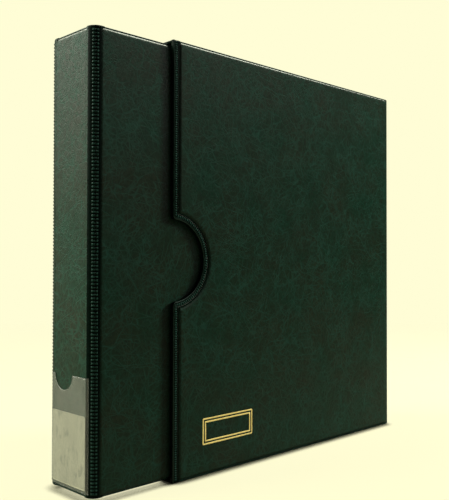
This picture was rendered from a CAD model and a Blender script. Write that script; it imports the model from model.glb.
"""Looks of a padded ring-bound stamp album that stands part way out of its slipcase."""

import math

import bmesh
import bpy
import numpy as np
from mathutils import Matrix, Vector, noise
from mathutils.geometry import delaunay_2d_cdt


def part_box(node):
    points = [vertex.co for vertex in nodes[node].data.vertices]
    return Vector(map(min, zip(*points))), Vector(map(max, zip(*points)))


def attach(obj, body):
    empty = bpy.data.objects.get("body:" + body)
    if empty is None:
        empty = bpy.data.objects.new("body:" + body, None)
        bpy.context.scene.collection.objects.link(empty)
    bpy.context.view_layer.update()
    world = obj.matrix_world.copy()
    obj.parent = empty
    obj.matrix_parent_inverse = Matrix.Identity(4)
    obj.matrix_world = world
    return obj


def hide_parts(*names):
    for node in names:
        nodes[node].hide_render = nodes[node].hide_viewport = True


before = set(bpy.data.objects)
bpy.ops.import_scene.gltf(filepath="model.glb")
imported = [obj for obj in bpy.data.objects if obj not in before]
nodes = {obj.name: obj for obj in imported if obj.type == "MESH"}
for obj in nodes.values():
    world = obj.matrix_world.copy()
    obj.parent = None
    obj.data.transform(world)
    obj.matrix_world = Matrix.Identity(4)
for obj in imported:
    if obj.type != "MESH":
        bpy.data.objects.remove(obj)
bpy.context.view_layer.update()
scene = bpy.context.scene
MM = 0.001


def box_mm(node):
    """The low and the high corner of a CAD node's box, in mm."""
    lo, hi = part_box(node)
    return np.array(lo) / MM, np.array(hi) / MM


# ---------------------------------------------------------------- places, in mm, from the CAD nodes
film_lo, film_hi = box_mm("label_pocket")
skin_lo, skin_hi = box_mm("cover_skin")
mouth_lo, mouth_hi = box_mm("case_mouth_weld")
edge_hi = box_mm("case_edge_weld")[1]
wall_lo, wall_hi = box_mm("case_front_skin")
hinge_lo, hinge_hi = box_mm("hinge_weld_front")
card_lo, card_hi = box_mm("label_card")

# the album: x runs from the spine to the fore-edge, y is its thickness, z is up
X_SPINE = film_lo[0]
X_FACE = skin_lo[0]
Y_ALBUM = skin_hi[1]
X_COVER = hinge_hi[0]
Y_SPINE = box_mm("spine_padding")[1][1]
X_FORE = box_mm("cover_border")[1][0]
Z_ALBUM, Z_TOP = hinge_lo[2], hinge_hi[2]
Z_PANEL = (skin_lo[2], skin_hi[2])
X_PANEL_END = skin_hi[0]

# the slipcase
X_MOUTH, X_END = mouth_lo[0], edge_hi[0]
X_WALL, X_WALL_END = wall_lo[0], wall_hi[0]
CASE_H = edge_hi[2]
Z_WALL = (wall_lo[2], wall_hi[2])
Y_CASE = -wall_lo[1]
Y_MOUTH = mouth_hi[1]
Y_CAVITY = box_mm("case_top_skin")[1][1]
Z_FLOOR = box_mm("case_end_board")[0][2]
Y_EDGE = edge_hi[1]
NOTCH_R = 25.5
NOTCH_FILLET = 3.0

RIB_PITCH = 2.05               # of the bars on the spine's corners
FINE_PITCH = 1.4               # of the dots on the other welded bands


# ---------------------------------------------------------------- mesh helpers
def new_object(name, verts, faces, material, body, smooth=True):
    """A mesh from points in mm, riding on a body."""
    mesh = bpy.data.meshes.new(name)
    mesh.from_pydata((np.asarray(verts, float) * MM).tolist(), [], [list(map(int, f)) for f in faces])
    mesh.validate()
    mesh.update()
    if smooth:
        mesh.polygons.foreach_set("use_smooth", [True] * len(mesh.polygons))
    mesh.materials.append(material)
    obj = bpy.data.objects.new(name, mesh)
    scene.collection.objects.link(obj)
    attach(obj, body)
    return obj


def fix_normals(obj):
    """Turns the faces of a closed mesh outwards."""
    bm = bmesh.new()
    bm.from_mesh(obj.data)
    bmesh.ops.recalc_face_normals(bm, faces=bm.faces)
    bm.to_mesh(obj.data)
    bm.free()


def grid_quads(rows, cols, wrap_cols=False):
    """Quads between the neighbours of a grid of points, which may close up along its rows."""
    i = np.arange(rows - 1)[:, None]
    j = np.arange(cols if wrap_cols else cols - 1)[None, :]
    j2 = (j + 1) % cols
    a = i * cols + j
    b = i * cols + j2
    c = (i + 1) * cols + j2
    d = (i + 1) * cols + j
    return np.stack([a, b, c, d], -1).reshape(-1, 4)


def tube(name, ring, material, body):
    """A closed mesh from rings of points, with a flat face over each end."""
    rows, cols = ring.shape[:2]
    faces = grid_quads(rows, cols, True).tolist()
    faces.append(list(range(cols))[::-1])
    faces.append(list(range((rows - 1) * cols, rows * cols)))
    obj = new_object(name, ring.reshape(-1, 3), faces, material, body)
    fix_normals(obj)
    return obj


def wave(t, pitch, bar=0.52, soft=0.16):
    """A row of bars along t: 1 on a bar and 0 between two, with soft flanks."""
    p = np.abs(((t / pitch) % 1.0) - 0.5) * 2
    x = np.clip((bar + soft - p) / (2 * soft), 0, 1)
    return x * x * (3 - 2 * x)


def ease(x):
    """0 to 1 with a soft start and end."""
    x = np.clip(x, 0, 1)
    return x * x * (3 - 2 * x)


def round_over(distance, radius):
    """How far a rounded edge has come up, 0 to 1, at a distance from its foot."""
    return np.sqrt(np.clip(1 - (1 - np.clip(distance / radius, 0, 1)) ** 2, 0, 1))


# finishes of a welded piece, as places in its list of materials
PLAIN, DEEP, BAR, BEAD, AS_SPINE = range(5)


def paint(obj, rows, cols, deep, bar, bead=None):
    """Gives the pressed grooves of a band the dark finish, its bars the lighter one and its bead a third."""
    for material in (weld_deep, weld_bar, weld_shiny):
        obj.data.materials.append(material)
    index = np.full((rows - 1, cols), PLAIN)
    if bead is not None:
        index[bead] = BEAD
    index[bar] = BAR
    index[deep] = DEEP
    flat = index.reshape(-1).tolist()
    polygons = obj.data.polygons
    polygons.foreach_set("material_index", flat + [DEEP] * (len(polygons) - len(flat)))


# in a section's third column a rib's height is zero or more, and these name a finish
DEEP_MARK, BEAD_MARK = -1, -2
GROOVE = -0.3                  # a part without ribs that lies lower than this is dark
END_DROP, END_LENGTH = 0.35, 0.7


def swept_band(name, path, across, up, section, thickness, body, limit=None, fade=2.0):
    """A welded band: section is (s, height, rib) rows, path its outer edge, across and up its two directions."""
    path, across, up = (np.asarray(a, float) for a in (path, across, up))
    step = np.linalg.norm(np.diff(path, axis=0), axis=1)
    t = np.concatenate([[0], np.cumsum(step)])
    ends = np.minimum(t, t[-1] - t)
    bars = wave(t, FINE_PITCH) * ease(ends / fade)
    s, h, mark = np.array(section, float).T
    rib = np.maximum(mark, 0)
    width = np.repeat(s[None, :], len(path), 0)
    if limit is not None:
        width = np.minimum(width, limit[:, None])
    height = h[None, :] + bars[:, None] * rib[None, :]
    height = height - END_DROP * (1 - ease(ends / END_LENGTH))[:, None]
    outer = path[:, None, :] + across[:, None, :] * width[:, :, None] + up[:, None, :] * height[:, :, None]
    under = [path + across * width[:, k][:, None] - up * thickness for k in (-1, 0)]
    ring = np.concatenate([outer, under[0][:, None, :], under[1][:, None, :]], 1)
    obj = tube(name, ring, weld, body)

    rows, cols = ring.shape[:2]
    top = len(s) - 1               # columns of faces on the outer side
    low = (h < GROOVE) & (mark > -0.5) & (rib < 0.05) | (mark == DEEP_MARK)
    beaded = mark == BEAD_MARK
    ribbed = rib > 0.04
    both = ribbed[:-1] | ribbed[1:]
    row_bar = (bars[:-1] + bars[1:]) / 2
    deep = np.ones((rows - 1, cols), bool)
    deep[:, :top] = (low[:-1] & low[1:])[None, :]
    deep[:, :top] |= both[None, :] & (row_bar < 0.35)[:, None]
    bar = np.zeros((rows - 1, cols), bool)
    bar[:, :top] = both[None, :] & (row_bar > 0.5)[:, None]
    bead = np.zeros((rows - 1, cols), bool)
    bead[:, :top] = (beaded[:-1] & beaded[1:])[None, :]
    paint(obj, rows, cols, deep, bar, bead)
    return obj


def quarter(cx, cz, r, a0):
    """Points of a quarter circle from the angle a0, in degrees."""
    turn = [math.radians(a0 + 15 * k) for k in range(7)]
    return [(cx + r * math.cos(a), cz + r * math.sin(a)) for a in turn]


def rounded_rect(x0, x1, z0, z1, r, gap=3.0):
    """Points of a rectangle with rounded corners, anticlockwise."""
    pts = []
    for cx, cz, a0 in ((x1 - r, z0 + r, -90), (x1 - r, z1 - r, 0), (x0 + r, z1 - r, 90), (x0 + r, z0 + r, 180)):
        pts += quarter(cx, cz, r, a0)
    return spread(pts, gap)


def spread(points, gap):
    """Adds points so that no stretch of the closed outline is longer than gap."""
    out = []
    for p, q in zip(points, points[1:] + points[:1]):
        n = max(1, int(math.ceil(math.dist(p, q) / gap)))
        out += [(p[0] + (q[0] - p[0]) * k / n, p[1] + (q[1] - p[1]) * k / n) for k in range(n)]
    return out


def outline_normals(pts):
    """Inward directions at the points of an anticlockwise outline."""
    p = np.array(pts)
    e = np.roll(p, -1, 0) - p
    e /= np.linalg.norm(e, axis=1)[:, None] + 1e-12
    n_edge = np.stack([-e[:, 1], e[:, 0]], 1)
    n = n_edge + np.roll(n_edge, 1, 0)
    return n / (np.linalg.norm(n, axis=1)[:, None] + 1e-12)


def distance_to(pts, q):
    """Distance from each point of q to the closed outline."""
    a = np.array(pts)
    b = np.roll(a, -1, 0)
    q = np.asarray(q, float)
    best = np.full(len(q), 1e9)
    for p0, p1 in zip(a, b):
        d = p1 - p0
        u = np.clip(((q - p0) @ d) / (d @ d + 1e-12), 0, 1)
        best = np.minimum(best, np.linalg.norm(q - (p0 + u[:, None] * d), axis=1))
    return best


def inside_of(outline, q):
    """Which points of q lie inside the closed outline."""
    inside = np.zeros(len(q), bool)
    for p0, p1 in zip(outline, np.roll(outline, -1, 0)):
        cross = (p0[1] > q[:, 1]) != (p1[1] > q[:, 1])
        with np.errstate(divide="ignore", invalid="ignore"):
            xi = p0[0] + (q[:, 1] - p0[1]) * (p1[0] - p0[0]) / (p1[1] - p0[1])
        inside ^= cross & (q[:, 0] < xi)
    return inside


# steps of a pad's rolled edge, from its foot to the crown
ROLL_STEPS = [0.0, 0.03, 0.08, 0.16, 0.27, 0.40, 0.55, 0.70, 0.85, 1.0]
POLISHED_STEPS = len(ROLL_STEPS) - 4
POLISHED_REACH = 6.0           # the polish is on the edge that faces up, this near to the top
CROWN_REACH = 14.0


def padded_panel(name, outline, place, material, body, rise, roll, crown, dents, seed, grid=4.0):
    """A crowned, closed pad over an outline in (u, v). place(u, v, height) gives the 3-D point."""
    inward = outline_normals(outline)
    base = np.array(outline)
    n = len(base)
    rings = [base + inward * (k * roll) for k in ROLL_STEPS]
    heights = [rise * math.sqrt(max(0.0, 1 - (1 - k) ** 2)) for k in ROLL_STEPS]

    def top(points, dist):
        lift = crown * (1 - np.exp(-np.maximum(dist - roll, 0) / CROWN_REACH))
        low = np.array([noise.noise(Vector((p[0] / 42 + seed, p[1] / 60, seed))) for p in points])
        mid = np.array([noise.noise(Vector((p[0] / 15 + seed, p[1] / 19, 7 + seed))) for p in points])
        fade = ease(dist / 9.0)
        return rise + lift + fade * (dents * low + 0.3 * dents * mid)

    # the crown: a mesh over the last ring, with points in staggered rows
    lo, hi = base.min(0), base.max(0)
    gx = np.arange(lo[0] + grid, hi[0], grid)
    gz = np.arange(lo[1] + grid, hi[1], grid)
    q = np.array([(x, z) for i, z in enumerate(gz) for x in gx + (grid / 2 if i % 2 else 0)])
    keep = inside_of(base, q) & (distance_to(outline, q) > roll + 0.35 * grid)
    loop = list(range(n))
    crown_points = [Vector(p) for p in rings[-1]] + [Vector(p) for p in q[keep]]
    out = delaunay_2d_cdt(crown_points, [], [loop], 1, 1e-6)
    tri_pts = np.array([tuple(v) for v in out[0]])
    tri_h = top(tri_pts, distance_to(outline, tri_pts))

    # the roll: rings from the foot, the last of which is the first ring of the crown
    verts, faces = [], []
    for ring, h in zip(rings[:-1], heights[:-1]):
        verts += [place(p[0], p[1], h) for p in ring]
    cap0 = len(verts)
    verts += [place(p[0], p[1], h) for p, h in zip(tri_pts, tri_h)]
    near = {j: i for i, source in enumerate(out[3]) for j in source}
    last = [cap0 + near[j] for j in range(n)]
    k = len(rings) - 1
    for r in range(k):
        for j in range(n):
            j2 = (j + 1) % n
            lower = (r * n + j, r * n + j2)
            upper = ((r + 1) * n + j2, (r + 1) * n + j) if r < k - 1 else (last[j2], last[j])
            faces.append([*lower, *upper])
    faces += [[cap0 + i for i in f] for f in out[2]]

    # the flat underside
    u0 = len(verts)
    verts += [place(p[0], p[1], 0.0) for p in base]
    for j in range(n):
        j2 = (j + 1) % n
        faces.append([j2, j, u0 + j, u0 + j2])
    floor_tris = delaunay_2d_cdt([Vector(p) for p in base], [], [loop], 1, 1e-6)
    back = [source[0] for source in floor_tris[3]]
    faces += [[u0 + back[i] for i in reversed(f)] for f in floor_tris[2]]
    obj = new_object(name, verts, faces, material, body)
    fix_normals(obj)

    obj.data.materials.append(edge_vinyl)
    faces_up = (inward[:, 1] < -0.6) & (base[:, 1] > base[:, 1].max() - POLISHED_REACH)
    polished = [int(i < POLISHED_STEPS * n and faces_up[i % n]) for i in range(len(obj.data.polygons))]
    obj.data.polygons.foreach_set("material_index", polished)

    def surface_height(points):
        points = np.asarray(points, float)
        dist = distance_to(outline, points)
        return np.where(dist < roll, rise * round_over(dist, roll), top(points, dist))

    surface[name] = surface_height
    return obj


# height of each pad over its foot, at points (u, v)
surface = {}


# ---------------------------------------------------------------- materials
def add_node(tree, kind, values=None, **props):
    """A shader node with its properties set, and each input set or linked."""
    n = tree.nodes.new("ShaderNode" + kind)
    for k, v in props.items():
        setattr(n, k, v)
    for k, v in (values or {}).items():
        if isinstance(v, bpy.types.NodeSocket):
            tree.links.new(v, n.inputs[k])
        else:
            n.inputs[k].default_value = v
    return n


class Shader:
    """A material on the Principled shader, with short names for the nodes that feed it."""

    INPUTS = {
        "color": "Base Color", "rough": "Roughness", "metal": "Metallic", "spec": "Specular IOR Level",
        "normal": "Normal", "alpha": "Alpha",
    }

    def __init__(self, name):
        self.mat = bpy.data.materials.new(name)
        self.mat.use_nodes = True
        self.tree = self.mat.node_tree
        self.bsdf = self.tree.nodes["Principled BSDF"]
        self.coord = self.tree.nodes.new("ShaderNodeTexCoord")

    def add(self, kind, values=None, **props):
        return add_node(self.tree, kind, values, **props)

    def space(self, scale=(1, 1, 1), turn=(0, 0, 0)):
        values = {"Vector": self.coord.outputs["Object"], "Scale": scale, "Rotation": turn}
        return self.add("Mapping", values).outputs[0]

    def noise(self, vector, scale, detail=2.0, rough=0.5):
        values = {"Vector": vector, "Scale": scale, "Detail": detail, "Roughness": rough}
        return self.add("TexNoise", values).outputs[0]

    def noise_color(self, vector, scale, detail):
        return self.add("TexNoise", {"Vector": vector, "Scale": scale, "Detail": detail}).outputs["Color"]

    def ramp(self, value, stops):
        n = self.add("ValToRGB", {"Fac": value})
        for el, (pos, col) in zip(n.color_ramp.elements, stops):
            el.position = pos
            el.color = (*col, 1)
        return n.outputs["Color"]

    def span(self, value, a, b, c=0.0, d=1.0):
        """The value's range a to b, spread over c to d."""
        values = {"Value": value, "From Min": a, "From Max": b, "To Min": c, "To Max": d}
        return self.add("MapRange", values).outputs[0]

    def math(self, op, a, b):
        return self.add("Math", {0: a, 1: b}, operation=op).outputs[0]

    def mix(self, fac, a, b):
        """Colour a where fac is 0 and b where it is 1."""
        a, b = (v if isinstance(v, bpy.types.NodeSocket) else (*v, 1) for v in (a, b))
        return self.add("Mix", {0: fac, 6: a, 7: b}, data_type="RGBA").outputs[2]

    def bump(self, height, strength, distance):
        return self.add("Bump", {"Height": height, "Strength": strength, "Distance": distance}).outputs[0]

    def put(self, **values):
        """Sets or links the shader's inputs and gives back the material."""
        for k, v in values.items():
            sock = self.bsdf.inputs[self.INPUTS[k]]
            if isinstance(v, bpy.types.NodeSocket):
                self.tree.links.new(v, sock)
            else:
                sock.default_value = (*v, 1) if isinstance(v, tuple) else v
        return self.mat


# linear colours of the vinyl's print
GREEN = (0.0045, 0.0300, 0.0145)
BROWN = (0.0140, 0.0230, 0.0110)
DARK = (0.0050, 0.0150, 0.0075)
VEIN = (0.0190, 0.0800, 0.0520)
# creases: angle, stretch, scale and width of each layer
CREASES = (
    (0.30, 0.24, 205, 0.046),
    (1.05, 0.26, 225, 0.050),
    (-0.60, 0.22, 190, 0.044),
    (1.75, 0.26, 215, 0.048),
)


def leather(name, axis, rough=0.5, spec=0.08, veins=1.0, relief=0.5, tone=0.67):
    """Dark two-tone vinyl with a calf-grain print: fine pebble, and long crossing creases that show lighter."""
    s = Shader(name)
    flat = s.space()
    green, brown, dark, vein = (tuple(tone * c for c in colour) for colour in (GREEN, BROWN, DARK, VEIN))
    # cloudy two-tone print, and a finer mottle in it
    cloud = s.noise(flat, 30, 5, 0.62)
    mottle = s.noise(flat, 520, 3, 0.6)
    base = s.mix(s.span(cloud, 0.36, 0.64), brown, green)
    base = s.mix(s.span(mottle, 0.34, 0.68, 0.0, 0.75), base, dark)
    # long creases that cross each other: edges of stretched cells, in several directions
    lines = None
    warp = s.add("VectorMath", {0: s.noise_color(flat, 60, 2), "Scale": 0.0045}, operation="SCALE").outputs[0]
    bent = s.add("VectorMath", {0: flat, 1: warp}, operation="ADD").outputs[0]
    for k, (angle, stretch, scale, width) in enumerate(CREASES):
        turn = [0.0, 0.0, 0.0]
        turn[axis] = angle
        values = {
            "Vector": bent, "Rotation": turn, "Location": (0.1 * k, 0.2 * k, 0.3 * k), "Scale": (1, 1, 1 / stretch)}
        place = s.add("Mapping", values, vector_type="TEXTURE").outputs[0]
        edge = s.add("TexVoronoi", {"Vector": place, "Scale": scale}, feature="DISTANCE_TO_EDGE").outputs["Distance"]
        line = s.span(edge, 0.0, width, 1.0, 0.0)
        mask = s.span(s.noise(s.space((1, 1, 1), (k, 2 * k, k)), 55, 1), 0.36, 0.58)
        line = s.math("MULTIPLY", line, mask)
        lines = line if lines is None else s.math("MAXIMUM", lines, line)
    cell = s.add("TexVoronoi", {"Vector": bent, "Scale": 330}, feature="DISTANCE_TO_EDGE").outputs["Distance"]
    crackle = s.span(cell, 0.0, 0.12, 1.0, 0.0)
    crackle = s.math("MULTIPLY", crackle, s.span(s.noise(flat, 80, 2), 0.44, 0.60))
    pebble = s.noise(flat, 1000, 2, 0.6)
    shade = s.mix(s.math("MULTIPLY", crackle, 0.30 * veins), base, vein)
    shade = s.mix(s.math("MULTIPLY", lines, 0.52 * veins), shade, vein)
    bumps = s.math("ADD", s.math("MULTIPLY", pebble, 0.4), s.math("MULTIPLY", mottle, 0.6))
    bumps = s.math("SUBTRACT", bumps, s.math("MULTIPLY", s.math("ADD", lines, crackle), 0.3))
    normal = s.bump(bumps, relief, 0.00022)
    r = s.span(s.math("ADD", mottle, s.math("MULTIPLY", lines, 0.25)), 0.3, 0.8, rough - 0.06, rough + 0.1)
    return s.put(color=shade, rough=r, spec=spec, normal=normal)


cover_vinyl = leather("cover_vinyl", 1)
case_vinyl = leather("case_vinyl", 1)
spine_vinyl = leather("spine_vinyl", 0, spec=0.09, veins=1.0, relief=0.8, tone=1.0)
edge_vinyl = leather("edge_vinyl", 1, rough=0.26, spec=0.9, veins=0.4)


def weld_vinyl(name, low, high, spec):
    """Vinyl pressed smooth by the welding tool."""
    s = Shader(name)
    soft = s.noise(s.space(), 260, 3)
    tone = s.ramp(soft, [(0.3, low), (0.7, high)])
    rough = s.span(soft, 0.3, 0.7, 0.34, 0.48)
    return s.put(color=tone, rough=rough, spec=spec, normal=s.bump(s.noise(s.space(), 900, 2), 0.2, 0.00006))


weld = weld_vinyl("weld_vinyl", (0.0008, 0.0045, 0.0024), (0.0020, 0.0090, 0.0052), 0.03)
weld_deep = weld_vinyl("weld_deep", (0.0008, 0.0038, 0.0021), (0.0015, 0.0070, 0.0040), 0.02)
weld_shiny = weld_vinyl("weld_shiny", (0.0040, 0.0200, 0.0120), (0.0070, 0.0300, 0.0190), 0.15)
weld_bar = weld_vinyl("weld_bar", (0.0100, 0.0420, 0.0290), (0.0170, 0.0600, 0.0430), 0.08)


def steel(name, color, rough, along):
    """Metal with fine streaks, drawn out by along."""
    s = Shader(name)
    streak = s.noise(s.space(along), 300, 3, 0.6)
    tone = s.ramp(streak, [(0.3, tuple(0.86 * c for c in color)), (0.7, color)])
    rough = s.span(streak, 0.3, 0.7, rough * 0.85, rough * 1.25)
    return s.put(color=tone, metal=1.0, rough=rough, normal=s.bump(streak, 0.08, 0.00002))


nickel = steel("nickel", (0.72, 0.72, 0.70), 0.2, (6, 6, 0.4))
rail_steel = steel("rail_steel", (0.66, 0.67, 0.66), 0.28, (8, 8, 0.25))
blade_steel = steel("blade_steel", (0.5, 0.5, 0.5), 0.4, (8, 8, 0.3))


def paper(name, light, dark, scale=700, rough=0.8, fleck=0.0):
    """Fibrous card, board or foam, cloudy, and with dark flecks if asked."""
    s = Shader(name)
    fibre = s.noise(s.space((1, 1, 0.5)), scale, 4, 0.65)
    cloud = s.noise(s.space(), 60, 3)
    tone = s.mix(s.span(fibre, 0.35, 0.65), dark, light)
    tone = s.mix(s.span(cloud, 0.35, 0.7, 0.0, 0.35), tone, tuple(0.86 * c for c in dark))
    if fleck:
        spots = s.span(s.noise(s.space((1, 1, 0.5)), 330, 1), 0.60, 0.72, 0.0, fleck)
        tone = s.mix(spots, tone, tuple(0.45 * c for c in dark))
    return s.put(color=tone, rough=rough, spec=0.3, normal=s.bump(fibre, 0.25, 0.00006))


card_paper = paper("card_paper", (0.55, 0.53, 0.37), (0.47, 0.455, 0.315), fleck=0.5)
leaf_card = paper("leaf_card", (0.010, 0.010, 0.011), (0.006, 0.006, 0.007), 500, 0.75)
greyboard = paper("greyboard", (0.20, 0.19, 0.165), (0.13, 0.125, 0.11), 420, 0.9, fleck=0.4)
foam_pad = paper("foam_pad", (0.5, 0.5, 0.44), (0.4, 0.4, 0.36), 900, 0.95)


def lining():
    """Nearly black, finely woven inner vinyl."""
    s = Shader("lining")
    weave = s.noise(s.space(), 1400, 2)
    cloud = s.noise(s.space(), 45, 3)
    tone = s.mix(s.span(cloud, 0.35, 0.65), (0.004, 0.0045, 0.0045), (0.0075, 0.0085, 0.008))
    return s.put(color=tone, rough=0.6, spec=0.25, normal=s.bump(weave, 0.3, 0.0001))


lining_vinyl = lining()


def foil():
    """Worn gold foil."""
    s = Shader("gold_foil")
    wear = s.noise(s.space(), 900, 3, 0.7)
    tone = s.ramp(wear, [(0.3, (0.80, 0.58, 0.14)), (0.65, (0.96, 0.80, 0.30))])
    rough = s.span(wear, 0.3, 0.7, 0.28, 0.5)
    return s.put(color=tone, metal=0.35, rough=rough, normal=s.bump(s.noise(s.space(), 500, 2), 0.25, 0.00005))


gold = foil()


def clear_film(name, tint, alpha):
    """Clear film with a faint haze that lets the piece behind it show."""
    s = Shader(name)
    haze = s.noise(s.space((1, 1, 0.4)), 120, 3)
    a = s.span(haze, 0.3, 0.7, alpha * 0.82, alpha * 1.18)
    s.mat.blend_method = "BLEND"
    rough = s.span(haze, 0.3, 0.7, 0.16, 0.3)
    normal = s.bump(s.noise(s.space((1, 1, 0.3)), 55, 2), 0.15, 0.0006)
    return s.put(color=tint, rough=rough, spec=0.45, alpha=a, normal=normal)


pocket_film = clear_film("pocket_film", (0.40, 0.41, 0.33), 0.20)
strip_film = clear_film("strip_film", (0.55, 0.57, 0.56), 0.2)
# each CAD node that is shown as it is, by its name

for name, node in nodes.items():
    use = (
        rail_steel if name == "ring_rail" else
        blade_steel if name.startswith("blade") else
        nickel if name.startswith(("half_rings", "lever", "ring_rivets")) else
        card_paper if name == "label_card" else
        leaf_card if name.startswith("leaf_") else
        strip_film if name.startswith("strips_") else
        gold if name == "foil_frame" else
        greyboard if name.endswith("_board") else
        foam_pad if name.endswith("_padding") else
        lining_vinyl if name.endswith("_lining") else
        pocket_film if name == "label_pocket" else
        case_vinyl if name.startswith("case_") and name.endswith("_skin") else
        cover_vinyl if name == "cover_skin" else weld
    )
    node.data.materials.clear()
    node.data.materials.append(use)

# ---------------------------------------------------------------- album: padded panels
BOARD_FACE = Y_ALBUM - 1.0     # outer face of the greyboard, from the middle
FLANGE_COVER = 1.2             # how far a pad swells over the flange round it
COVER_START = X_COVER - 1.2


def side_place(side, level):
    """Height above a level on the front (-1) or back (+1) face."""
    return lambda u, v, h: (u, side * (level + h), v)


SIDES = ((-1, "front"), (1, "back"))
COVER_LEVEL = BOARD_FACE - 1.39
for side, name in SIDES:
    outline = rounded_rect(
        COVER_START, X_PANEL_END + FLANGE_COVER, Z_PANEL[0] - FLANGE_COVER, Z_PANEL[1] + FLANGE_COVER, 3.2)
    panel = padded_panel(
        f"album_{name}_panel", outline, side_place(side, COVER_LEVEL), cover_vinyl, "album",
        rise=2.2, roll=2.6, crown=0.22, dents=0.12, seed=3.0 + side)
    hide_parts("cover_skin", f"{name}_padding")

SPINE_HALF = Y_ALBUM - 5.3     # half width of the spine's pad, which dips under the corner strips
SPINE_LEVEL = X_FACE + 1.95
SPINE_STRETCH = 1.2            # the pad turns more tightly at its ends than at its sides
CORNER_R = 7.1                 # radius of the rounded corner between spine and cover
CORNER_SINK = 0.2              # how far the corner starts below the spine's face
outline = rounded_rect(
    -SPINE_HALF, SPINE_HALF, SPINE_STRETCH * (Z_PANEL[0] - FLANGE_COVER), SPINE_STRETCH * (Z_PANEL[1] + FLANGE_COVER),
    3.3)
spine = padded_panel(
    "album_spine_panel", outline, lambda u, v, h: (SPINE_LEVEL - h, u, v / SPINE_STRETCH), spine_vinyl, "album",
    rise=1.74, roll=3.1, crown=0.22, dents=0.12, seed=11.0, grid=3.0)
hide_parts("cover_skin", "spine_padding")


def spine_face(points):
    """X of the spine's outer face at (y, z): its pad, or the rounded corner beside it."""
    y = np.abs(np.array([p[0] for p in points]))
    pad = SPINE_LEVEL - surface["album_spine_panel"]([(v, SPINE_STRETCH * w) for v, w in points])
    out = np.clip(y - (Y_ALBUM - CORNER_R), 0, CORNER_R)
    corner = X_FACE + CORNER_R + CORNER_SINK - np.sqrt(CORNER_R ** 2 - out ** 2)
    return np.where(y < SPINE_HALF, np.minimum(pad, corner), corner)


# ---------------------------------------------------------------- album: ribbed corner strips
# degrees round the corner from the spine, height, bar height and finish
CORNER_TURN = [
    (0, -0.20, 0, AS_SPINE), (3, -0.20, 0, AS_SPINE), (6, -0.20, 0, AS_SPINE),
    (9, -0.20, 0, DEEP), (12, -0.20, 0, DEEP), (16, -0.20, 0, DEEP), (20, -0.20, 0, DEEP), (25, -0.20, 0, DEEP),
    (30, -0.22, 0, DEEP), (34, -0.25, 0, DEEP),
    (35, -0.27, 0.10, PLAIN), (36.5, -0.27, 0.40, PLAIN), (40, -0.27, 0.52, PLAIN), (44, -0.27, 0.56, PLAIN),
    (48, -0.27, 0.54, PLAIN), (50.5, -0.27, 0.44, PLAIN), (52, -0.28, 0.10, DEEP), (54, -0.30, 0.0, DEEP),
    (55, -0.30, 0.10, PLAIN), (56.5, -0.30, 0.36, PLAIN), (59, -0.30, 0.44, PLAIN), (62, -0.30, 0.44, PLAIN),
    (64.5, -0.32, 0.34, PLAIN), (66, -0.34, 0.08, DEEP),
    (69, -0.36, 0.0, DEEP), (73, -0.36, 0, DEEP), (77, -0.40, 0, DEEP), (81, -0.50, 0, DEEP), (85, -0.74, 0, DEEP),
    (88, -0.92, 0, DEEP)]
STRIP_T = 2.2                  # thickness of the strip under the turn


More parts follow.
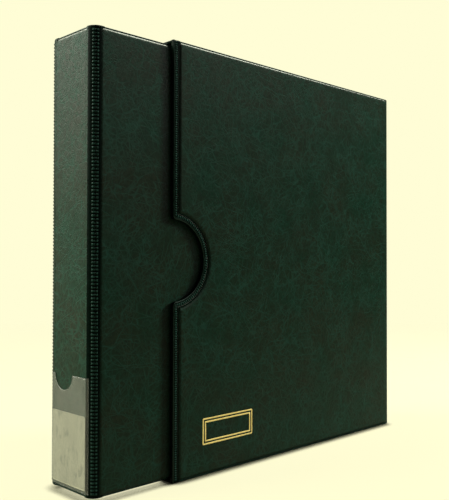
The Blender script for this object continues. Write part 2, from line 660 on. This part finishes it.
def hinge_strip(side, name):
    """The welded corner: a smooth turn, two columns of bars round the corner and a groove along the cover."""
    cx, cy = X_FACE + CORNER_R, Y_ALBUM - CORNER_R
    sec = []                      # x, y (positive, mirrored later), normal, height, bar height, finish
    for y, h in ((cy - 1.4, -1.1), (cy - 0.8, -0.6), (cy - 0.35, -0.24)):
        sec.append((X_FACE, y, -1, 0, h, 0.0, AS_SPINE))
    for deg, h, bar, finish in CORNER_TURN:
        a = math.radians(deg)
        sec.append((
            cx - CORNER_R * math.cos(a), cy + CORNER_R * math.sin(a), -math.cos(a), math.sin(a), h, bar, finish))
    for x in (cx + 0.2, cx + 0.6, cx + 1.2):
        sec.append((x, Y_ALBUM, 0, 1, -0.94, 0.0, DEEP))
    sec = np.array(sec)
    sec_x, sec_y, out_x, out_y, level, bar_h, finish = sec.T
    inner = [(cx + 1.2, Y_ALBUM - 2.1), (cx - 0.2, Y_ALBUM - STRIP_T)]
    r = CORNER_R - STRIP_T
    inner += [(cx - r * math.cos(a), cy + r * math.sin(a)) for a in (1.2, 0.9, 0.6, 0.3, 0.0)]
    inner.append((X_FACE + 2.1, cy - 1.4))

    height = Z_TOP - Z_ALBUM
    z = np.arange(0, height, RIB_PITCH / 10)
    z = np.append(z, height)
    ends = np.minimum(z, height - z)
    bars = wave(z - height / 2, RIB_PITCH, 0.55, 0.30) * ease((ends - 1.0) / 0.8)
    droop = -0.75 * (1 - round_over(ends, 1.3))
    lift = level + bars[:, None] * bar_h + droop[:, None] * np.clip((level + 1.3) / 0.9, 0, 1)
    zz = np.repeat((Z_ALBUM + z)[:, None], len(sec), 1)
    outer = np.stack([sec_x + out_x * lift, side * (sec_y + out_y * lift), zz], -1)
    inside = np.stack([
        np.repeat(np.array([p[0] for p in inner])[None, :], len(z), 0),
        np.repeat(np.array([side * p[1] for p in inner])[None, :], len(z), 0),
        np.repeat((Z_ALBUM + z)[:, None], len(inner), 1)], -1)
    ring = np.concatenate([outer, inside], 1)
    obj = tube(f"album_corner_{name}", ring, weld, "album")

    rows, cols = ring.shape[:2]
    top = len(sec) - 1
    ribbed = (bar_h[:-1] > 0.05) | (bar_h[1:] > 0.05)
    row_bar = (bars[:-1] + bars[1:]) / 2
    deep = np.ones((rows - 1, cols), bool)
    deep[:, :top] = (finish[:-1] == DEEP)[None, :] | (ribbed[None, :] & (row_bar < 0.12)[:, None])
    bar = np.zeros((rows - 1, cols), bool)
    bar[:, :top] = ribbed[None, :] & (row_bar > 0.55)[:, None]
    paint(obj, rows, cols, deep, bar)
    obj.data.materials.append(spine_vinyl)
    for row in range(rows - 1):
        for col in np.flatnonzero(finish[:-1] == AS_SPINE):
            obj.data.polygons[int(row * cols + col)].material_index = AS_SPINE
    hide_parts(f"hinge_weld_{name}")


hinge_strip(-1, "front")
hinge_strip(1, "back")

# ---------------------------------------------------------------- album: thin welded border
BORDER_SECTION = [
    (0.0, -0.45, 0), (0.08, -0.15, 0), (0.24, 0.0, 0), (0.38, 0.0, 0.10), (0.62, 0.0, 0.14), (0.86, -0.02, 0.10),
    (1.0, -0.10, 0), (1.2, -0.2, 0), (3.6, -0.2, 0)]
BORDER_LEVEL = Y_ALBUM - 1.5
BORDER_T = 1.2


def three_sides(x0, x1, z0, z1, r, step):
    """Path along the bottom, round the far side and back along the top, with inward directions."""
    pts, inn = [], []

    def line(p, q, n):
        k = max(2, int(math.dist(p, q) / step))
        for i in range(k):
            pts.append((p[0] + (q[0] - p[0]) * i / k, p[1] + (q[1] - p[1]) * i / k))
            inn.append(n)

    def turn(c, a0, a1):
        k = 12
        for i in range(k):
            a = math.radians(a0 + (a1 - a0) * i / k)
            pts.append((c[0] + r * math.cos(a), c[1] + r * math.sin(a)))
            inn.append((-math.cos(a), -math.sin(a)))

    line((x0, z0), (x1 - r, z0), (0, 1))
    turn((x1 - r, z0 + r), -90, 0)
    line((x1, z0 + r), (x1, z1 - r), (-1, 0))
    turn((x1 - r, z1 - r), 0, 90)
    line((x1 - r, z1), (x0, z1), (0, -1))
    pts.append((x0, z1))
    inn.append((0, -1))
    return np.array(pts), np.array(inn)


def turn_limit(pts, inn, r, widest):
    """How wide the band may be: no wider than the radius where the path turns."""
    bend = np.linalg.norm(np.diff(inn, axis=0, append=inn[-1:]), axis=1) > 1e-6
    bend |= np.roll(bend, 1)
    lim = np.full(len(pts), widest)
    lim[bend] = min(widest, r * 0.98)
    return lim


def side_band(name, side, pts, inn, level, section, thickness, body, limit):
    """A band that lies flat on the front (-1) or back (+1) face."""
    path = np.stack([pts[:, 0], np.full(len(pts), side * level), pts[:, 1]], -1)
    across = np.stack([inn[:, 0], 0 * inn[:, 0], inn[:, 1]], -1)
    up = np.tile((0, side, 0), (len(pts), 1))
    return swept_band(name, path, across, up, section, thickness, body, limit=limit)


BORDER_TURN = 2.2
pts, inn = three_sides(X_COVER, X_FORE, Z_ALBUM, Z_TOP, BORDER_TURN, 0.25)
lim = turn_limit(pts, inn, BORDER_TURN, BORDER_SECTION[-1][0])
for side, name in SIDES:
    band = side_band(
        f"album_{name}_border", side, pts, inn, BORDER_LEVEL, BORDER_SECTION, BORDER_T, "album", lim)
    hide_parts("cover_border")

for z, sign, name in ((Z_ALBUM, 1, "bottom"), (Z_TOP, -1, "top")):
    y = np.arange(-Y_SPINE, Y_SPINE + 0.01, 0.25)
    path = np.stack([np.full(len(y), X_FACE + 1.35), y, np.full(len(y), z)], -1)
    band = swept_band(
        f"album_spine_border_{name}", path, np.tile((0, 0, sign), (len(y), 1)), np.tile((-1, 0, 0), (len(y), 1)),
        BORDER_SECTION, BORDER_T, "album", fade=0.5)
    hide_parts("cover_border")

# ---------------------------------------------------------------- slipcase: padded walls with their notch
WALL_BOARD = Y_CASE - 1.0
WALL_START = X_WALL + 0.5
NOTCH_EDGE = NOTCH_R + (WALL_START - X_MOUTH)
WALL_COVER = 1.5               # how far the wall's pad swells over the flange round it


def wall_outline():
    """Outline of a wall's panel, anticlockwise, with a rounded bite for the thumb notch."""
    r = 2.8
    mid = CASE_H / 2
    x0, x1 = WALL_START, X_WALL_END + WALL_COVER
    z0, z1 = Z_WALL[0] - WALL_COVER, Z_WALL[1] + WALL_COVER
    pts = quarter(x1 - r, z0 + r, r, -90) + quarter(x1 - r, z1 - r, r, 0) + quarter(x0 + r, z1 - r, r, 90)
    # rounding where the bite meets the mouth side
    f = 2.9
    dx = x0 + f - X_MOUTH
    dz = math.sqrt((NOTCH_EDGE + f) ** 2 - dx ** 2)
    a_touch = math.atan2(dz, dx)
    turn = np.linspace(math.pi, math.pi + a_touch, 9)
    fillet = [(x0 + f + f * math.cos(a), mid + dz + f * math.sin(a)) for a in turn]
    pts += fillet
    arc = np.linspace(a_touch, -a_touch, 61)[1:-1]
    pts += [(X_MOUTH + NOTCH_EDGE * math.cos(a), mid + NOTCH_EDGE * math.sin(a)) for a in arc]
    pts += [(p[0], 2 * mid - p[1]) for p in fillet[::-1]]
    pts += quarter(x0 + r, z0 + r, r, 180)
    return spread(pts, 2.5)


WALL_LEVEL = WALL_BOARD - 1.47
bite = wall_outline()
for side, name in SIDES:
    panel = padded_panel(
        f"case_{name}_panel", bite, side_place(side, WALL_LEVEL), case_vinyl, "slipcase",
        rise=2.3, roll=2.6, crown=0.2, dents=0.11, seed=20.0 + side)
    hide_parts(f"case_{name}_skin", f"case_{name}_padding")

FOIL_LINE = 1.0                # width of a foil line, and of the gap between the two


def foil_piece():
    """Two gold lines stamped on the padded wall, which follow its swell."""
    lo, hi = box_mm("foil_frame")
    line = FOIL_LINE
    verts, faces = [], []

    def stamp(ring, up_by):
        h = surface["case_front_panel"](ring)
        return [(p[0], -(WALL_LEVEL + k + up_by), p[1]) for p, k in zip(ring, h)]

    for inset in (0.0, 2 * line):
        x0, x1, z0, z1 = lo[0] + inset, hi[0] - inset, lo[2] + inset, hi[2] - inset
        outer = rounded_rect(x0, x1, z0, z1, 1.0 - 0.25 * inset, 1.5)
        inward = outline_normals(outer)
        rings = [np.array(outer) + inward * d for d in (0.0, 0.12, line / 2, line - 0.12, line)]
        n = len(outer)
        base = len(verts)
        for ring, up_by in zip(rings, (0.0, 0.07, 0.08, 0.07, 0.0)):
            verts += stamp(ring, up_by)
        for ring in (rings[0], rings[-1]):
            verts += stamp(ring, -0.06)
        order = [5, 0, 1, 2, 3, 4, 6]
        for a, b in zip(order, order[1:] + order[:1]):
            for j in range(n):
                j2 = (j + 1) % n
                faces.append([base + a * n + j, base + a * n + j2, base + b * n + j2, base + b * n + j])
    obj = new_object("case_foil", verts, faces, gold, "slipcase")
    fix_normals(obj)
    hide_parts("foil_frame")


foil_piece()

# ---------------------------------------------------------------- slipcase: welded bands
MOUTH_SECTION = [
    (0.0, -1.0, DEEP_MARK), (0.04, -0.60, DEEP_MARK), (0.13, -0.32, BEAD_MARK), (0.30, -0.12, BEAD_MARK),
    (0.50, -0.02, BEAD_MARK), (0.62, -0.02, DEEP_MARK), (0.85, -0.12, DEEP_MARK), (1.05, -0.34, DEEP_MARK),
    (1.45, -0.42, DEEP_MARK), (1.70, -0.42, 0.10), (1.85, -0.40, 0.24), (2.05, -0.40, 0.32), (2.65, -0.40, 0.32),
    (2.85, -0.40, 0.24), (3.0, -0.40, 0.10), (3.15, -0.38, 0), (3.4, -0.30, 0), (3.65, -0.14, 0), (3.85, -0.08, 0),
    (4.1, -0.12, DEEP_MARK), (4.7, -0.14, DEEP_MARK), (5.4, -0.14, DEEP_MARK)]
WIDE = 9                       # a limit wider than any section


def mouth_path(step):
    """The edge of the mouth from bottom to top, round the notch, with directions into the wall."""
    mid = CASE_H / 2
    f = NOTCH_FILLET
    dz = math.sqrt((NOTCH_R + f) ** 2 - f ** 2)
    touch = math.atan2(dz, f)
    pts, inn, lim = [], [], []

    def line(z0, z1):
        k = int(abs(z1 - z0) / step)
        for i in range(k):
            pts.append((X_MOUTH, z0 + (z1 - z0) * i / k))
            inn.append((1, 0))
            lim.append(WIDE)

    def corner(c, a0, a1):
        k = int(f * abs(a1 - a0) / step)
        for i in range(k):
            a = a0 + (a1 - a0) * i / k
            pts.append((c[0] + f * math.cos(a), c[1] + f * math.sin(a)))
            inn.append((-math.cos(a), -math.sin(a)))
            lim.append(f - 0.1)

    line(0, mid - dz)
    corner((X_MOUTH + f, mid - dz), math.pi, math.pi - touch)
    k = int(NOTCH_R * 2 * touch / step)
    for i in range(k):
        a = -touch + 2 * touch * i / k
        pts.append((X_MOUTH + NOTCH_R * math.cos(a), mid + NOTCH_R * math.sin(a)))
        inn.append((math.cos(a), math.sin(a)))
        lim.append(WIDE)
    corner((X_MOUTH + f, mid + dz), math.pi + touch, math.pi)
    line(mid + dz, CASE_H)
    pts.append((X_MOUTH, CASE_H))
    inn.append((1, 0))
    lim.append(WIDE)
    lim = np.array(lim, float)
    grown = lim.copy()
    for k in range(1, 12):
        for sgn in (-1, 1):
            grown = np.minimum(grown, np.roll(lim, sgn * k) + 0.25 * k)
    return np.array(pts), np.array(inn), grown


pts, inn, lim = mouth_path(0.155)
for side, name in SIDES:
    band = side_band(
        f"case_{name}_mouth_band", side, pts, inn, Y_MOUTH, MOUTH_SECTION, Y_MOUTH - Y_CAVITY, "slipcase", lim)
    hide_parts("case_mouth_weld")

RIM_SECTION = [
    (0.0, -0.4, 0), (0.1, -0.1, 0), (0.4, 0.0, 0), (0.9, -0.06, 0), (1.2, -0.12, 0.1), (1.9, -0.12, 0.1),
    (2.4, -0.05, 0), (3.5, 0.0, 0)]
for z, sign, name in ((0.0, -1, "bottom"), (CASE_H, 1, "top")):
    y = np.arange(-Y_CAVITY, Y_CAVITY + 0.01, 0.3)
    path = np.stack([np.full(len(y), X_MOUTH), y, np.full(len(y), z)], -1)
    band = swept_band(
        f"case_mouth_rim_{name}", path, np.tile((1, 0, 0), (len(y), 1)), np.tile((0, 0, sign), (len(y), 1)),
        RIM_SECTION, Z_FLOOR, "slipcase", fade=0.5)
    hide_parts("case_mouth_weld")

EDGE_SECTION = [
    (0.0, -0.45, 0), (0.08, -0.15, 0), (0.22, 0.0, 0), (0.36, 0.0, 0.12), (0.62, 0.0, 0.16), (0.86, -0.02, 0.12),
    (1.0, -0.10, 0), (1.2, -0.2, 0), (3.8, -0.2, 0)]
EDGE_LEVEL = Y_EDGE - 0.5
EDGE_TURN = 1.2
pts, inn = three_sides(X_WALL, X_END, 0.0, CASE_H, EDGE_TURN, 0.16)
lim = turn_limit(pts, inn, EDGE_TURN, EDGE_SECTION[-1][0])
for side, name in SIDES:
    band = side_band(
        f"case_{name}_edge_band", side, pts, inn, EDGE_LEVEL, EDGE_SECTION, EDGE_LEVEL - Y_CAVITY, "slipcase", lim)
    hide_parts("case_edge_weld")

BELT_T = 0.38


def case_belt():
    """The vinyl over the narrow top, closed end and bottom, in one strip with rounded corners."""
    pts, inn = three_sides(X_WALL, X_END, 0.0, CASE_H, EDGE_TURN, 3.0)
    y = np.concatenate([
        np.linspace(-Y_CAVITY, -Y_CAVITY + 1.5, 5), np.linspace(-Y_CAVITY + 3, Y_CAVITY - 3, 17),
        np.linspace(Y_CAVITY - 1.5, Y_CAVITY, 5)])
    dip = 0.22 * (1 - round_over(np.minimum(y + Y_CAVITY, Y_CAVITY - y), 1.5))
    outer = np.stack([
        pts[:, None, 0] + inn[:, None, 0] * dip[None, :],
        np.repeat(y[None, :], len(pts), 0),
        pts[:, None, 1] + inn[:, None, 1] * dip[None, :]], -1)
    under = np.stack([
        np.repeat(pts[:, None, 0] + inn[:, None, 0] * BELT_T, 2, 1),
        np.repeat(np.array([Y_CAVITY, -Y_CAVITY])[None, :], len(pts), 0),
        np.repeat(pts[:, None, 1] + inn[:, None, 1] * BELT_T, 2, 1)], -1)
    obj = tube("case_belt", np.concatenate([outer, under], 1), case_vinyl, "slipcase")
    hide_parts("case_top_skin", "case_bottom_skin", "case_end_skin")


case_belt()

# ---------------------------------------------------------------- label pocket
THUMB_R, THUMB_OFF = 9.2, 5.0
FILM_HALF = Y_SPINE + 0.9      # half width of the film, with its seal
CARD_HALF = Y_SPINE - 1.0      # half width of the card, clear of the seal
FILM_T = 0.14
FILM_LIFT = 0.52               # of the film over the spine's face
LIP_R = 0.12


def pocket():
    """Clear film over the foot of the spine: sealed at its sides and foot, open at the top, with a thumb cut."""
    z0, z1 = film_lo[2], film_hi[2]
    rows = 44

    def top_of(y):
        d = y - THUMB_OFF
        return z1 - (math.sqrt(THUMB_R ** 2 - d * d) if abs(d) < THUMB_R else 0.0)

    edge = [0, 0.5, 0.9, 1.3, 1.7, 2.1, 2.6]
    ys = [-FILM_HALF + e for e in edge] + [FILM_HALF - e for e in edge]
    ys += np.linspace(-FILM_HALF + 3.2, FILM_HALF - 3.2, 29).tolist()
    ys += [THUMB_OFF + THUMB_R * math.cos(a) for a in np.linspace(0, math.pi, 25)]
    ys += [THUMB_OFF - THUMB_R - 0.15, THUMB_OFF + THUMB_R + 0.15]
    ys = np.unique(np.round(ys, 4))

    def depth(y, z, pad):
        """X of the film over the spine's face at x = pad: sealed at its edges, lifted between them."""
        side = ease((FILM_HALF - abs(y) - 0.5) / 1.0)
        foot = ease((z - z0 - 0.9) / 1.6)
        lift = X_FACE - FILM_LIFT - 0.10 * math.sin((z - z0) / (z1 - z0) * math.pi) * math.cos(y / Y_SPINE * 1.4)
        lift -= 0.12 * math.exp(-((y + FILM_HALF - 4.6) / 1.0) ** 2) * float(ease((z - z0) / 8))
        lift -= 0.05 * noise.noise(Vector((y / 9, z / 14, 2.0)))
        body = float(side * foot)
        return max((pad - 0.16) * (1 - body) + lift * body, X_SPINE - 0.2)

    places = [(y, z0 + (top_of(y) - z0) * i / rows) for i in range(rows + 1) for y in ys]
    front = [(depth(y, z, h), y, z) for (y, z), h in zip(places, spine_face(places))]
    back = [(x + FILM_T, y, z) for x, y, z in front]
    n = len(ys)
    m = len(front)
    faces = grid_quads(rows + 1, n).tolist()
    faces += [[a + m for a in f[::-1]] for f in faces[:]]
    rim = list(range(n)) + [i * n + n - 1 for i in range(1, rows + 1)]
    rim += [rows * n + i for i in range(n - 2, -1, -1)] + [i * n for i in range(rows - 1, 0, -1)]
    for a, b in zip(rim, rim[1:] + rim[:1]):
        faces.append([b, a, a + m, b + m])
    obj = new_object("label_window", front + back, faces, pocket_film, "album")
    fix_normals(obj)
    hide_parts("label_pocket")

    # the rounded, brighter lip of the film's open edge
    curve = bpy.data.curves.new("label_window_lip", "CURVE")
    curve.dimensions = "3D"
    curve.bevel_depth = LIP_R * MM
    curve.bevel_resolution = 2
    edge = [(y, top_of(y) - 0.1) for y in np.linspace(-FILM_HALF + 0.3, FILM_HALF - 0.3, 120)]
    dense = [(depth(y, z, h) - 0.03, y, z) for (y, z), h in zip(edge, spine_face(edge))]
    sp = curve.splines.new("POLY")
    sp.points.add(len(dense) - 1)
    for q, p in zip(sp.points, dense):
        q.co = (p[0] * MM, p[1] * MM, p[2] * MM, 1)
    lip = bpy.data.objects.new("label_window_lip", curve)
    scene.collection.objects.link(lip)
    curve.materials.append(lip_film)
    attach(lip, "album")


def title_card():
    """The loose card behind the film, as wide as the pocket, with soft corners."""
    outline = np.array(rounded_rect(-CARD_HALF, CARD_HALF, card_lo[2], card_hi[2], 1.0))
    n = len(outline)
    bow = 0.10 * (outline[:, 0] / CARD_HALF) ** 2
    x0, x1 = card_lo[0], card_hi[0]
    front = [(x0 + b, p[0], p[1]) for p, b in zip(outline, bow)]
    back = [(x1 + b, p[0], p[1]) for p, b in zip(outline, bow)]
    faces = [list(range(n)), list(range(2 * n - 1, n - 1, -1))]
    faces += [[(j + 1) % n, j, n + j, n + (j + 1) % n] for j in range(n)]
    obj = new_object("title_card", front + back, faces, card_paper, "label", smooth=False)
    fix_normals(obj)
    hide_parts("label_card")


lip_film = clear_film("lip_film", (0.40, 0.42, 0.38), 0.5)
pocket()
title_card()

# ---------------------------------------------------------------- floor, background, lights, camera
CREAM = (1.0, 0.982, 0.672)


def floor():
    """A floor as pale as the backdrop, which darkens only close under the object and fades out far from it."""
    bpy.ops.mesh.primitive_circle_add(vertices=96, radius=1.6, fill_type="NGON", location=(0, 0, -0.0003))
    obj = bpy.context.object
    obj.name = "floor"
    s = Shader("floor_cream")
    tree = s.tree
    out = tree.nodes["Material Output"]
    diffuse = s.add("BsdfDiffuse", {"Color": (0.12, 0.118, 0.08, 1)}).outputs[0]
    open_sky = s.add("AmbientOcclusion", {"Distance": 0.008}, samples=12).outputs["AO"]
    strength = s.span(open_sky, 0.52, 0.90, 0.02, 1.0)
    glow = s.add("Emission", {"Color": (0.89, 0.865, 0.585, 1), "Strength": strength}).outputs[0]
    path = s.add("LightPath")
    seen = s.math("MAXIMUM", path.outputs["Is Camera Ray"], path.outputs["Is Glossy Ray"])
    seen = s.math("MAXIMUM", seen, path.outputs["Is Transmission Ray"])
    lit = s.add("AddShader", {0: diffuse, 1: glow}).outputs[0]
    near = s.add("MixShader", {0: seen, 1: diffuse, 2: lit}).outputs[0]
    d = s.add("VectorMath", {0: s.coord.outputs["Object"]}, operation="LENGTH").outputs["Value"]
    fade = s.span(d, 0.35, 1.2)
    clear = s.add("BsdfTransparent").outputs[0]
    both = s.add("MixShader", {0: fade, 1: near, 2: clear}).outputs[0]
    tree.links.new(both, out.inputs["Surface"])
    tree.nodes.remove(s.bsdf)
    obj.data.materials.append(s.mat)


floor()

world = bpy.data.worlds.new("studio")
scene.world = world
world.use_nodes = True
wt = world.node_tree
wt.nodes.clear()


# a soft fill, a backdrop for the camera, and for gloss a glow that is brighter behind the object
path = add_node(wt, "LightPath").outputs
backdrop = add_node(wt, "Background", {0: (*CREAM, 1)}).outputs[0]
soft = add_node(wt, "Background", {0: (1, 0.99, 0.93, 1), 1: 0.05}).outputs[0]
ray = add_node(wt, "TexCoord").outputs["Generated"]
toward = add_node(wt, "VectorMath", {0: ray, 1: (-0.25, 0.95, 0.20)}, operation="DOT_PRODUCT").outputs["Value"]
toward = add_node(wt, "Math", {0: toward, 1: 0.5, 2: 0.5}, operation="MULTIPLY_ADD").outputs[0]
shades = add_node(wt, "ValToRGB", {0: toward})
stops = shades.color_ramp.elements
stops[0].position, stops[0].color = 0.40, (0.035, 0.035, 0.03, 1)
stops[1].position, stops[1].color = 0.80, (*CREAM, 1)
stops.new(0.62).color = (0.25, 0.245, 0.19, 1)
gloss = add_node(wt, "Background", {0: shades.outputs[0]}).outputs[0]
light = soft
for kind, seen in (("Is Glossy Ray", gloss), ("Is Transmission Ray", backdrop), ("Is Camera Ray", backdrop)):
    light = add_node(wt, "MixShader", {0: path[kind], 1: light, 2: seen}).outputs[0]
add_node(wt, "OutputWorld", {0: light})


def softbox(name, direction, distance, width, height, radiance, color):
    """A soft rectangular lamp that looks at the object's middle."""
    lamp = bpy.data.lights.new(name, "AREA")
    lamp.shape = "RECTANGLE"
    lamp.size, lamp.size_y = width, height
    lamp.energy = radiance * math.pi * width * height
    lamp.color = color
    obj = bpy.data.objects.new(name, lamp)
    d = Vector(direction).normalized()
    obj.location = Vector((0, 0, 0.137)) + d * distance
    obj.rotation_mode = "QUATERNION"
    obj.rotation_quaternion = (-d).to_track_quat("-Z", "Y")
    obj.visible_camera = False
    scene.collection.objects.link(obj)
    return obj


softbox("key", (0.80, -0.37, 0.38), 1.15, 0.22, 0.22, 156.0, (1.0, 0.99, 0.93)).visible_glossy = False
softbox("card", (0.45, -0.70, 0.62), 1.3, 1.0, 0.6, 6.0, (1.0, 0.99, 0.93)).visible_diffuse = False
softbox("left", (-0.66, 0.52, 0.50), 1.3, 1.0, 0.8, 11.5, (0.98, 1.0, 0.88))
softbox("top", (0.42, 0.36, 0.82), 1.3, 1.4, 1.3, 6.0, (0.95, 1.0, 0.80)).visible_diffuse = False

# the camera: focal length in pixels of a 500 px frame, and where it stands, in mm
F_PX, FRAME_PX, SENSOR = 718.0, 500, 36
yaw, pitch, tilt = math.radians(44.46), math.radians(0.866), math.radians(0.10)
fw = np.array([math.sin(yaw), math.cos(yaw), 0])
rt = np.array([math.cos(yaw), -math.sin(yaw), 0])
up = np.array([0, 0, 1.0])
f2 = math.cos(pitch) * fw + math.sin(pitch) * up
u2 = -math.sin(pitch) * fw + math.cos(pitch) * up
r3 = math.cos(tilt) * rt + math.sin(tilt) * u2
u3 = -math.sin(tilt) * rt + math.cos(tilt) * u2
eye = np.array([-377.6, -364.7, 137.1])
cam_data = bpy.data.cameras.new("camera")
cam_data.sensor_fit = "AUTO"
cam_data.sensor_width = SENSOR
cam_data.lens = F_PX / FRAME_PX * SENSOR
cam_data.clip_start = 0.01
cam = bpy.data.objects.new("camera", cam_data)
cam.matrix_world = Matrix([(r3[i], u3[i], -f2[i], eye[i] * MM) for i in range(3)] + [(0, 0, 0, 1)])
scene.collection.objects.link(cam)
scene.camera = cam

scene.view_settings.view_transform = "Standard"
